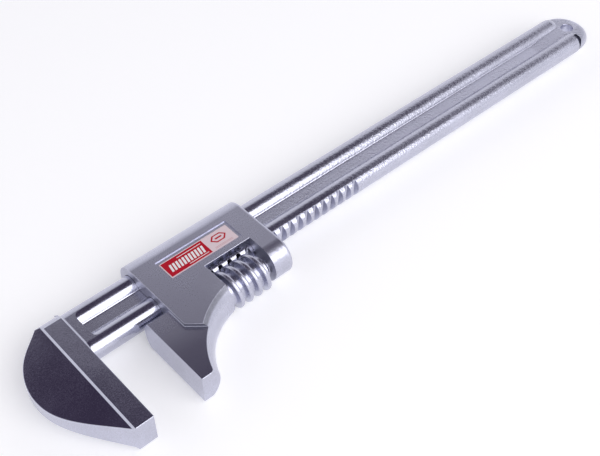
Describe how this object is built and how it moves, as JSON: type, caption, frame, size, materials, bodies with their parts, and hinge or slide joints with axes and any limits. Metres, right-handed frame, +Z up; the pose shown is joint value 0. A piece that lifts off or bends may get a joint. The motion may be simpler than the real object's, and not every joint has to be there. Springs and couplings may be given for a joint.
{
  "type": "smooth-jaw adjustable wrench",
  "caption": "Heavy adjustable wrench with two smooth parallel jaws, an I-section handle with a rack, and a sliding jaw housing driven by a thumb worm.",
  "frame": {"origin": "middle of the fixed jaw's working face, on the mid-plane, 45 mm from the bar's centreline", "axes": "+X along the handle, away from the fixed jaw; jaws reach towards -Y from the bar; +Z up through the thickness"},
  "size_m": [0.4568, 0.0951, 0.0246],
  "materials": {
    "plated_forging": "bright plated forging, satin in the web",
    "satin_forging": "satin plated forging",
    "polished_worm": "bright plated, machined",
    "pin_steel": "machined",
    "spring_steel": "drawn wire",
    "label": "printed film, red field and pale field"
  },
  "bodies": {
    "handle": {"handle_bar": "plated_forging"},
    "jaw": {"sliding_jaw": "satin_forging", "worm_pin": "pin_steel", "worm_spring": "spring_steel", "label_plate": "label"},
    "worm": {"adjusting_worm": "polished_worm"}
  },
  "joints": [
    {"name": "jaw_slide", "type": "slide", "parent": "handle", "child": "jaw", "axis": [1, 0, 0], "range_m": [-0.0303, 0.0762]},
    {"name": "worm_spin", "type": "hinge", "parent": "jaw", "child": "worm", "pos_m": [0.0913, 0.0181, 0], "axis": [1, 0, 0], "range_deg": [-1740, 4340]}
  ],
  "couplings": [
    {"joint": "worm_spin", "follows": "jaw_slide", "rad_per_m": 989.48}
  ]
}
